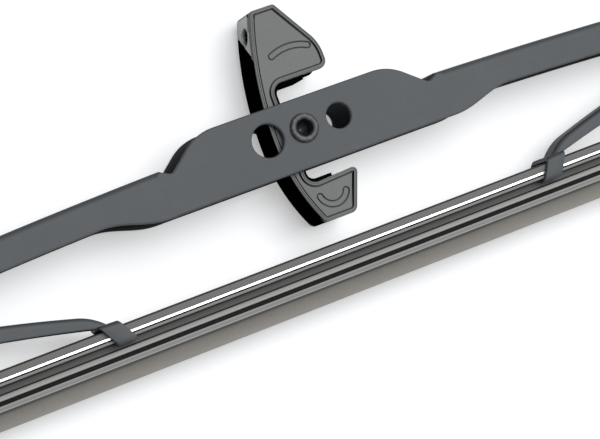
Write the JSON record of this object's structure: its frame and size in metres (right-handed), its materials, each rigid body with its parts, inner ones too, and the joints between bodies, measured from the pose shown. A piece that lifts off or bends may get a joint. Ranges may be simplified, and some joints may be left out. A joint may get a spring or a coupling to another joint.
{
  "type": "wiper blade",
  "caption": "Bracket wiper blade: pressed steel bridge with nested yokes and claws gripping a rubber refill, and a swinging plastic adapter for a hook arm at its centre rivet.",
  "frame": {"origin": "the adapter's pivot: the axis of the centre rivet, midway across the blade", "axes": "+X along the blade, towards the small side-pin holes; +Y away from the glass, out of the bridge's back; +Z across the blade towards the side the picture shows, so the blade lies on its side"},
  "size_m": [0.53, 0.0584, 0.0136],
  "materials": {
    "painted_steel": "satin slate-grey powder paint on pressed sheet steel",
    "painted_rivet": "the same paint, a little thinner over rolled rivet ends",
    "liner_nylon": "plain black nylon",
    "bare_steel": "bright rolled spring steel",
    "adapter_plastic": "mid-grey moulded plastic, fine grain on the cheeks, smooth on the curved back",
    "blade_rubber": "graphite-dusted grey rubber, slightly brown and mottled on the lip"
  },
  "bodies": {
    "bridge_body": {"primary_bridge": "painted_steel", "center_rivet": "painted_rivet", "rivet_sleeve": "bare_steel", "yoke_rivet_left": "painted_rivet", "yoke_rivet_right": "painted_rivet", "yoke_liner_left": "liner_nylon", "yoke_liner_right": "liner_nylon", "wiper_rubber": "blade_rubber", "vertebra_near": "bare_steel", "vertebra_far": "bare_steel"},
    "adapter_body": {"arm_adapter": "adapter_plastic"},
    "yoke_body_left": {"yoke_left": "painted_steel", "claw_rivet_left": "painted_rivet", "claw_liner_left": "liner_nylon"},
    "yoke_body_right": {"yoke_right": "painted_steel", "claw_rivet_right": "painted_rivet", "claw_liner_right": "liner_nylon"},
    "claw_yoke_body_left": {"claw_yoke_left": "painted_steel"},
    "claw_yoke_body_right": {"claw_yoke_right": "painted_steel"}
  },
  "joints": [
    {"name": "adapter_swing", "type": "hinge", "parent": "bridge_body", "child": "adapter_body", "pos_m": [0, 0, 0], "axis": [0, 0, 1], "range_deg": [-100, 100]},
    {"name": "yoke_pivot_left", "type": "hinge", "parent": "bridge_body", "child": "yoke_body_left", "pos_m": [-0.144, -0.01072, 0], "axis": [0, 0, 1], "range_deg": [-3, 3], "deforming": ["wiper_rubber", "vertebra_near", "vertebra_far"]},
    {"name": "claw_yoke_pivot_left", "type": "hinge", "parent": "yoke_body_left", "child": "claw_yoke_body_left", "pos_m": [-0.192, -0.01855, 0], "axis": [0, 0, 1], "range_deg": [-3, 3], "deforming": ["wiper_rubber", "vertebra_near", "vertebra_far"]},
    {"name": "yoke_pivot_right", "type": "hinge", "parent": "bridge_body", "child": "yoke_body_right", "pos_m": [0.144, -0.01072, 0], "axis": [0, 0, 1], "range_deg": [-3, 3], "deforming": ["wiper_rubber", "vertebra_near", "vertebra_far"]},
    {"name": "claw_yoke_pivot_right", "type": "hinge", "parent": "yoke_body_right", "child": "claw_yoke_body_right", "pos_m": [0.192, -0.01855, 0], "axis": [0, 0, 1], "range_deg": [-3, 3], "deforming": ["wiper_rubber", "vertebra_near", "vertebra_far"]}
  ]
}
